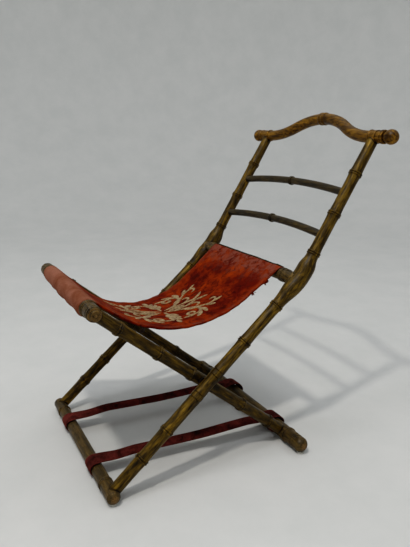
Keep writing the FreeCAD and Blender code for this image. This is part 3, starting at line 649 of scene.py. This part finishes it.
# %% Cloth helpers
def cloth_grid(columns, rows, half_width, length, middle=0.0, wear=()):
    """Grid from -1 to 1 with UV in metres of cloth, and a layer for each kind of wear."""
    work = bmesh.new()
    bmesh.ops.create_grid(work, x_segments=columns, y_segments=rows, size=1)
    cloth_uv = work.loops.layers.uv.new("cloth")
    wear_layers = [work.verts.layers.float.new(kind) for kind in wear]
    for face in work.faces:
        for loop in face.loops:
            across, along = loop.vert.co.x, (loop.vert.co.y + 1) / 2
            loop[cloth_uv].uv = (across * half_width + middle, along * length)
    return work, wear_layers


def cloth_piece(name, work, material, thickness):
    """A bent grid as an object, with the thickness of its cloth."""
    bmesh.ops.recalc_face_normals(work, faces=work.faces)
    piece = new_piece(name, work, material)
    wall = piece.modifiers.new("cloth_thickness", "SOLIDIFY")
    wall.thickness = thickness
    wall.offset = 0
    return piece


# %% Hem and wear of the sling
hem_roll = 2.2 * mm
pressed_roll = 0.5 * mm
hem_return = 12 * mm
hem_start = sling_half - hem_roll
across_half = hem_start + math.pi * hem_roll + hem_return
sleeve_share = seat_lengths[0] / seat_length
rear_share = 1 - seat_lengths[4] / seat_length
hem_fade_share = 0.06


def hem_place(across, free):
    """Station and lift of the cloth at a distance across it; its hem is pressed where it isn't free."""
    roll = pressed_roll + (hem_roll - pressed_roll) * free
    flat = sling_half - roll
    side = 1 if across > 0 else -1
    beyond = abs(across) - hem_start
    if beyond <= 0:
        return across * flat / hem_start, 0
    whole = math.pi * hem_roll + hem_return
    beyond = beyond * (math.pi * roll + hem_return * free) / whole
    if beyond < math.pi * roll:
        turn = beyond / roll
        return side * (flat + roll * math.sin(turn)), -roll * (1 - math.cos(turn))
    return side * (flat - (beyond - math.pi * roll)), -2 * roll


def sling_wear(across, share):
    """How bald and how rubbed the velvet is: bald on the sleeve, rubbed at the rear and the sides."""
    bald = 1 - ease(share, sleeve_share - 0.02, sleeve_share + 0.05)
    rear = 0.4 * ease(share, rear_share - 0.26, rear_share - 0.1)
    rear += 0.38 * ease(share, rear_share - 0.12, rear_share)
    edge = ease(abs(across), sling_half - 30 * mm, sling_half - 4 * mm)
    edge *= 1 - ease(abs(across), sling_half - 2 * mm, sling_half + 2 * mm)
    return bald, max(rear, 0.68 * edge * ease(share, 0.5, 0.9), 0.6 * edge)


print("cut width of the sling:", round(2 * across_half, 4))

# %% Sling sheet
velvet_thickness = 1.6 * mm
velvet_lift = 1.4 * mm
velvet_top = velvet_lift + velvet_thickness / 2
edge_wobble = 1.4 * mm

work, (bald_layer, rubbed_layer) = cloth_grid(96, 150, across_half, seat_length, wear=("bald", "rubbed"))
for vert in work.verts:
    across = vert.co.x * across_half
    share = (vert.co.y + 1) / 2
    free = ease(share, sleeve_share, sleeve_share + hem_fade_share)
    free *= 1 - ease(share, rear_share - hem_fade_share, rear_share)
    x, lift = hem_place(across, free)
    x += edge_wobble * free * vert.co.x ** 3 * noise.noise((float(across > 0), share * 80, 5.5))
    vert[bald_layer], vert[rubbed_layer] = sling_wear(across, share)
    vert.co = seat_point(x, share, velvet_lift + lift)
sling = cloth_piece("seat_sling_velvet", work, seat_velvet, velvet_thickness)
print("sling faces:", len(sling.data.polygons))

# %% [markdown]
# ## Canvas lining
# Under the velvet lies a plain canvas that carries the load. It only shows from below, between the
# hems, so it is a second, narrower grid on the same surface. Its weave is a pair of crossed waves in
# the material, drawn 3 mm apart where real threads are about 0.8 mm: modelled threads would cost a
# great many faces for something that lies in shadow.

# %% Canvas finish
# Woven linen, brown with age: matt, with threads that cross and stains between them.
# At a scale of 1, straight bands of the wave texture repeat every pi / 10.
thread_spacing = 3 * mm
canvas, tree = new_material("linen_canvas")
spot = add(tree, "ShaderNodeUVMap", uv_map="cloth")
warp, weft = (add(tree, "ShaderNodeTexWave", {
    "Vector": spot, "Scale": math.pi / 10 / thread_spacing, "Distortion": 0.6,
}, out="Fac", bands_direction=direction) for direction in ("X", "Y"))
weave = add(tree, "ShaderNodeMath", {0: warp, 1: weft}, operation="MAXIMUM")
stain = add(tree, "ShaderNodeTexNoise", {
    "Vector": spot, "Scale": 1 / (60 * mm), "Detail": 5.0, "Roughness": 0.65})
stain = add(tree, "ShaderNodeMapRange", {0: stain, 1: 0.35, 2: 0.68})
colour = add(tree, "ShaderNodeMixRGB", {0: stain, 1: "#7d6850", 2: "#4d3a2a"})
thread_tone = add(tree, "ShaderNodeMapRange", {0: weave, 3: 0.7, 4: 1.1})
colour = add(tree, "ShaderNodeVectorMath", {0: colour, 1: thread_tone}, operation="MULTIPLY")
bump = add(tree, "ShaderNodeBump", {"Height": weave, "Strength": 0.5, "Distance": 0.4 * mm})
shader = add(tree, "ShaderNodeBsdfPrincipled", {
    "Base Color": colour, "Roughness": 0.95, "Normal": bump, "Specular IOR Level": 0.2})
add(tree, "ShaderNodeOutputMaterial", {"Surface": shader})
print("finish:", canvas.name)

# %% Lining sheet
lining_half = 144.5 * mm
lining_thickness = 0.9 * mm
lining_lift = -0.8 * mm
lining_inset = 14 * mm
lining_start = (seat_lengths[0] + lining_inset) / seat_length
lining_end = (seat_rear_start - lining_inset) / seat_length
lining_length = (lining_end - lining_start) * seat_length

work, _ = cloth_grid(58, 110, lining_half, lining_length)
for vert in work.verts:
    share = lining_start + (lining_end - lining_start) * (vert.co.y + 1) / 2
    vert.co = seat_point(vert.co.x * lining_half, share, lining_lift)
lining = cloth_piece("seat_lining_canvas", work, canvas, lining_thickness)
print("lining length:", round(lining_length, 4))

# %% [markdown]
# ## Straps
# Two straps of crimson velvet ribbon tie the floor rails together and stop the frames from spreading.
# They are nearly taut, so each is a narrow grid on the same kind of path. Between the rails the ribbon
# curls under along its sides, as velvet does when it is pulled, and its loops stand off the rails.

# %% Path of the straps
strap_half = 19.5 * mm
strap_lift = 1.2 * mm
strap_bottom = 1400 * mm
strap_sag = 7 * mm
strap_front_end = 340
strap_rear_end = -160
# The front loop's puff, its angles on the rail, and where it fades; then the rear loop's.
front_puff = 2.5 * mm
front_puff_turns = (150, 215)
front_puff_fades = (0, 70 * mm)
rear_puff_turns = (-60, 20)
rear_puff_grows = (-45 * mm, 4 * mm)
# The ribbon comes free of one rail and settles on the other.
strap_leaving = (-6 * mm, 105 * mm)
strap_settling = (-90 * mm, 6 * mm)
front_wrap = wrap_radius["front_floor_rail"]
rear_wrap = wrap_radius["rear_floor_rail"]
strap_low = (floor_front.z + front_wrap + floor_rear.z + rear_wrap) / 2 - strap_sag
strap_centre = Vector((0, stance_middle, strap_low + strap_bottom))
strap_lengths, strap_at = hanging_path(
    floor_front, front_wrap, floor_rear, rear_wrap, strap_centre, strap_bottom,
    math.radians(strap_front_end), math.radians(strap_rear_end))
strap_length = sum(strap_lengths)
strap_leaves = strap_lengths[0]
strap_arrives = sum(strap_lengths[:4])


def strap_puff(distance, rear_puff):
    """How far the loops stand off their rails: above and outside, but not beneath, near the floor."""
    past_rear = distance - strap_arrives
    front_turn = strap_front_end - math.degrees(distance / front_wrap)
    rear_turn = 90 - math.degrees(past_rear / rear_wrap)
    front = 1 - ease(front_turn, *front_puff_turns)
    front *= 1 - ease(distance - strap_leaves, *front_puff_fades)
    rear = ease(past_rear, *rear_puff_grows) * ease(rear_turn, *rear_puff_turns)
    return front_puff * front + rear_puff * rear


def strap_free(distance):
    """0 on the rails, 1 where the ribbon hangs free between them."""
    left = ease(distance - strap_leaves, *strap_leaving)
    return left * (1 - ease(distance - strap_arrives, *strap_settling))


print("strap path:", [round(part, 4) for part in strap_lengths])

# %% Straps
strap_velvet = worn_velvet("velvet_ribbon_crimson", nap="#6a342f", patch="#4c2521", shade="#27120f",
                           ground="#7d423c", bald="#5c1515", soiled="#5c1515")
strap_thickness = 2.2 * mm
strap_roll = 1.4
least_roll = 0.05
strap_wave = 0.8 * mm


def strap_point(across, distance, middle, drift_to_rear, bow_up, rear_puff):
    """Point of a strap from -1 to 1 across it and at a distance along it."""
    point, normal = strap_at(distance)
    free = strap_free(distance)
    roll = max(strap_roll * free, least_roll)
    turn = across * roll
    bend_radius = strap_half / roll
    wave = noise.noise((across, distance * 14, middle * 50)) * strap_wave
    lift = strap_lift + free * (strap_half * strap_roll / 4 + bow_up)
    lift += bend_radius * (math.cos(turn) - 1) + max(wave, 0) + strap_puff(distance, rear_puff)
    drift = drift_to_rear * (point.y - floor_front.y) / (floor_rear.y - floor_front.y)
    return point + normal * lift + Vector((middle + drift + bend_radius * math.sin(turn), 0, 0))


straps = {}
# Middle of each strap at the front, its drift sideways to the rear, its bow and its rear loop's puff.
strap_hangs = {
    "left": (105 * mm, 34 * mm, 7 * mm, 5.5 * mm), "right": (-111 * mm, 40 * mm, 12 * mm, 8 * mm),
}
for side, hang in strap_hangs.items():
    work, (_, rubbed_layer) = cloth_grid(14, 180, strap_half, strap_length, middle=hang[0],
                                         wear=("bald", "rubbed"))
    for vert in work.verts:
        vert[rubbed_layer] = 0.6 * ease(abs(vert.co.x), 0.6, 1.0)
        vert.co = strap_point(vert.co.x, (vert.co.y + 1) / 2 * strap_length, *hang)
    straps[side] = cloth_piece(f"strap_{side}_velvet", work, strap_velvet, strap_thickness)

# %% [markdown]
# ## Embroidery
# The seat carries scrollwork in couched cream cord: a thick thread is laid on the velvet and sewn
# down. A bevelled curve would be quicker to draw, but it would cut through a cloth that curves. So
# each cord is a grid rolled into a tapered tube and laid on the seat's own surface. The design here
# is a plain traditional one: running scrolls with leaves, mirrored about the seat's middle.

# %% Cord finish
# Twisted cotton, once cream: soft and matt, browned in patches, with stitches that cross the cord
# every 8 mm, drawn coarser than real ones so that they show. At a scale of 1, diagonal bands of the
# wave texture repeat every pi / 5 along the cord.
stitch_spacing = 8 * mm
cream_thread, tree = new_material("cotton_cord_cream")
spot = add(tree, "ShaderNodeUVMap", uv_map="cloth")
stitch = add(tree, "ShaderNodeTexWave", {
    "Vector": spot, "Scale": math.pi / 5 / stitch_spacing, "Distortion": 1.2, "Detail": 2.0,
}, out="Fac", bands_direction="DIAGONAL")
soil = add(tree, "ShaderNodeTexCoord", out="Object")
soil = add(tree, "ShaderNodeTexNoise", {
    "Vector": soil, "Scale": 1 / (14 * mm), "Detail": 5.0, "Roughness": 0.7})
soil = add(tree, "ShaderNodeMapRange", {0: soil, 1: 0.38, 2: 0.66})
colour = add(tree, "ShaderNodeMixRGB", {0: soil, 1: "#a58e66", 2: "#6b5033"})
shade = add(tree, "ShaderNodeMapRange", {0: stitch, 3: 0.72, 4: 1.08})
colour = add(tree, "ShaderNodeVectorMath", {0: colour, 1: shade}, operation="MULTIPLY")
bump = add(tree, "ShaderNodeBump", {"Height": stitch, "Strength": 0.5, "Distance": 0.4 * mm})
shader = add(tree, "ShaderNodeBsdfPrincipled", {
    "Base Color": colour, "Roughness": 0.8, "Normal": bump, "Specular IOR Level": 0.25,
    "Sheen Weight": 0.15, "Sheen Roughness": 0.5})
add(tree, "ShaderNodeOutputMaterial", {"Surface": shader})
print("finish:", cream_thread.name)

# %% Couched cord
cord_sides = 8
under_share = 0.3
look_share = 0.01


def lay_cord(work, path, width, height, steps, surface, bluntness=3.2):
    """Rolls a grid into a tapered cord along a flat path in millimetres, and lays it on a surface."""
    made = bmesh.ops.create_grid(work, x_segments=steps, y_segments=cord_sides, size=1)["verts"]
    cord_uv = work.loops.layers.uv.verify()
    reach = sum((path(i / steps) - path((i + 1) / steps)).length for i in range(steps)) * mm
    for face in {face for vert in made for face in vert.link_faces}:
        for loop in face.loops:
            loop[cord_uv].uv = ((loop.vert.co.x + 1) / 2 * reach, loop.vert.co.y * width / 2 * mm)
    for vert in made:
        share = (vert.co.x + 1) / 2
        side, top = math.cos(vert.co.y * math.pi), math.sin(vert.co.y * math.pi)
        way = (path(min(share + look_share, 1)) - path(max(share - look_share, 0))).normalized()
        taper = min(1, math.sqrt(max(share * (1 - share), 0)) * bluntness)
        flat = path(share) + Vector((-way.y, way.x)) * (side * width / 2 * taper)
        rise = (top if top > 0 else under_share * top) * height * taper
        vert.co = surface(flat.x * mm, flat.y * mm, rise * mm)


def new_cords():
    """An empty bmesh for cords, with the layer that their finish reads."""
    work = bmesh.new()
    work.loops.layers.uv.new("cloth")
    return work


def cord_piece(name, work, material):
    """Closes the cords' seams and makes them one object."""
    bmesh.ops.remove_doubles(work, verts=work.verts, dist=0.02 * mm)
    bmesh.ops.recalc_face_normals(work, faces=work.faces)
    piece = new_piece(name, work, material)
    print(name, "faces:", len(piece.data.polygons))
    return piece


# %% Scrolls
def scroll(place, heading, length, bends, steps=120):
    """Path from a place and a heading in degrees; its bend, in degrees per mm, changes along it."""
    spots = [Vector(place)]
    for step in range(steps):
        stage = (step + 0.5) / steps * (len(bends) - 1)
        first = min(int(stage), len(bends) - 2)
        heading += (bends[first] + (bends[first + 1] - bends[first]) * (stage - first)) * length / steps
        way = Vector((math.cos(math.radians(heading)), math.sin(math.radians(heading))))
        spots.append(spots[-1] + way * length / steps)

    def path(share):
        first = min(int(share * steps), steps - 1)
        return spots[first].lerp(spots[first + 1], share * steps - first)
    return path


def sprout(stem, share, turn, length, bends):
    """A scroll that grows from another one, at a turn to it."""
    way = stem(min(share + 2 * look_share, 1)) - stem(max(share - 2 * look_share, 0))
    return scroll(stem(share), math.degrees(math.atan2(way.y, way.x)) + turn, length, bends)


def mirrored(path):
    """The same path on the other side of the seat's middle."""
    return lambda share: Vector((-path(share).x, path(share).y))


# %% Scroll design
# One side of the design, in millimetres: stems and leaves are (width, path), and way is -1 to the
# front and 1 to the rear.
stem_height, leaf_height = 1.6, 1.4
leaf_bend = 1.7
stems = []
leaves = []
for way in (-1, 1):
    main = scroll((4, way * 5), way * 58, 186, [-way * bend for bend in (-0.3, 0.2, 1.0, 1.8, 3.0, 5.5, 9)])
    branch = sprout(main, 0.38, way * 20, 84, [way * bend for bend in (-1.2, 0.6, 2.6, 5, 9)])
    inner = sprout(main, 0.10, way * 30, 88, [way * bend for bend in (0.3, -0.2, -1.6, -4.0, -9)])
    stems += [(8.5, main), (6.5, branch), (6.5, inner)]
    for stem, share, turn, width, length in (
        (main, 0.24, -40, 11, 36), (main, 0.50, 28, 11, 38), (main, 0.60, 32, 11, 36),
        (main, 0.70, 34, 10, 30), (branch, 0.36, -36, 10, 28), (branch, 0.58, -36, 9, 24),
        (inner, 0.40, 34, 10, 26),
    ):
        bend = -leaf_bend * way if turn > 0 else leaf_bend * way
        leaves.append((width, sprout(stem, share, way * turn, length, (bend, bend / 5))))
    leaves.append((12, scroll((1, way * 16), way * 86, 40, (way * 0.5, way * -0.5))))
    leaves.append((10, scroll((3, way * 74), way * 80, 42, (way * -0.4, way * -1.2))))
spray = scroll((9, 0), 0, 88, (0.3, -0.4, 0.3))
stems.append((7.5, spray))
for share, length in ((0.25, 34), (0.5, 32), (0.75, 26)):
    for way in (-1, 1):
        leaves.append((10, sprout(spray, share, way * 38, length, (way * -1.5, way * -0.2))))
leaves.append((11, sprout(spray, 0.98, 0, 26, (0, 0))))
print("stems:", len(stems), "leaves:", len(leaves))

# %% Embroidery on the seat
design_middle = 336 * mm / seat_length
design_stretch = 1.12


def on_seat(p, q, rise):
    """Place on the velvet, from the design's own two directions."""
    return seat_point(p, design_middle + design_stretch * q / seat_length, velvet_top + rise)


work = new_cords()
for half in (lambda path: path, mirrored):
    for width, path in stems:
        lay_cord(work, half(path), width, stem_height, 90, on_seat)
    for width, path in leaves:
        lay_cord(work, half(path), width, leaf_height, 26, on_seat, bluntness=2.0)
embroidery = cord_piece("seat_embroidery_cord", work, cream_thread)

# %% [markdown]
# ## Braid and frayed threads
# A narrow dark braid covers the cut edge of the velvet where it goes over the rear bar, and its
# near-black also paints the shade along that edge. It is one more cord laid on the seat's surface,
# with a finish of its own. The near edge is worn, and a few threads hang from its hem: thin cords
# laid on a small slope that leans out and down from the edge.

# %% Braid
# Plaited cotton, nearly black: partly its age, partly painted shade along the rear edge. It is matt,
# with cords that cross it every 12 mm.
plait_spacing = 12 * mm
braid_and_edge_shade, tree = new_material("cotton_braid_and_edge_shade")
spot = add(tree, "ShaderNodeUVMap", uv_map="cloth")
plait = add(tree, "ShaderNodeTexWave", {
    "Vector": spot, "Scale": math.pi / 5 / plait_spacing, "Distortion": 0.8,
}, out="Fac", bands_direction="DIAGONAL")
colour = add(tree, "ShaderNodeMixRGB", {0: plait, 1: "#17130c", 2: "#3a3322"})
bump = add(tree, "ShaderNodeBump", {"Height": plait, "Strength": 0.6, "Distance": 0.5 * mm})
shader = add(tree, "ShaderNodeBsdfPrincipled", {
    "Base Color": colour, "Roughness": 0.85, "Normal": bump, "Specular IOR Level": 0.2})
add(tree, "ShaderNodeOutputMaterial", {"Surface": shader})

# The braid is a little wider than the cloth, and lies on the crown of the rear bar.
braid_half, braid_width, braid_height = 161, 9, 1.5
braid_place = (seat_rear_start + 13 * mm) / seat_length


def on_rear_edge(p, q, rise):
    """Place on the velvet over the rear bar."""
    return seat_point(p, braid_place + q / seat_length, velvet_top + rise)


work = new_cords()
lay_cord(work, lambda share: Vector((braid_half * (2 * share - 1), 0)), braid_width, braid_height, 130,
         on_rear_edge, bluntness=20)
braid = cord_piece("seat_rear_braid_and_shade", work, braid_and_edge_shade)

# %% Frayed threads
thread_count = 42
torn_shares = (0.792, 0.858, 0.866)
tear_share = 0.009
thread_width, thread_height = 1.3, 0.9

work = new_cords()
for index in range(thread_count):
    share = torn_shares[index % 3] + tear_share * noise.noise((index * 3.7, 0.5, 0.5))
    base = seat_point(sling_half - 1 * mm, share, velvet_lift - hem_roll)
    lean = noise.noise((index * 1.9, 7.5, 0.5))
    length = 6 + 7 * abs(noise.noise((index * 2.3, 3.5, 0.5)))
    thread = scroll((0, 0), -62 + 60 * lean, length, (4 * lean, -5 * lean))
    lay_cord(work, thread, thread_width, thread_height, 8,
             lambda p, q, rise: base + Vector((rise, p, q)), bluntness=8)
fray = cord_piece("seat_edge_threads", work, seat_velvet)

# %% [markdown]
# ## Replacing the imported cloth
# The sling hangs from the seat frame at the front and the back frame at the rear, and the straps do
# the same the other way round near the floor. Each new cloth piece has its place baked into its mesh,
# and the imported sling, lining and straps that it replaces are hidden.

# %% Baking and replacing
seat_cloth = (sling, lining, embroidery, braid, fray)
for piece in seat_cloth:
    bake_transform(piece)
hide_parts("seat_sling")
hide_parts("seat_lining")
for side, strap in straps.items():
    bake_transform(strap)
    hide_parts(f"strap_{side}")
print("cloth pieces:", len(seat_cloth) + len(straps))
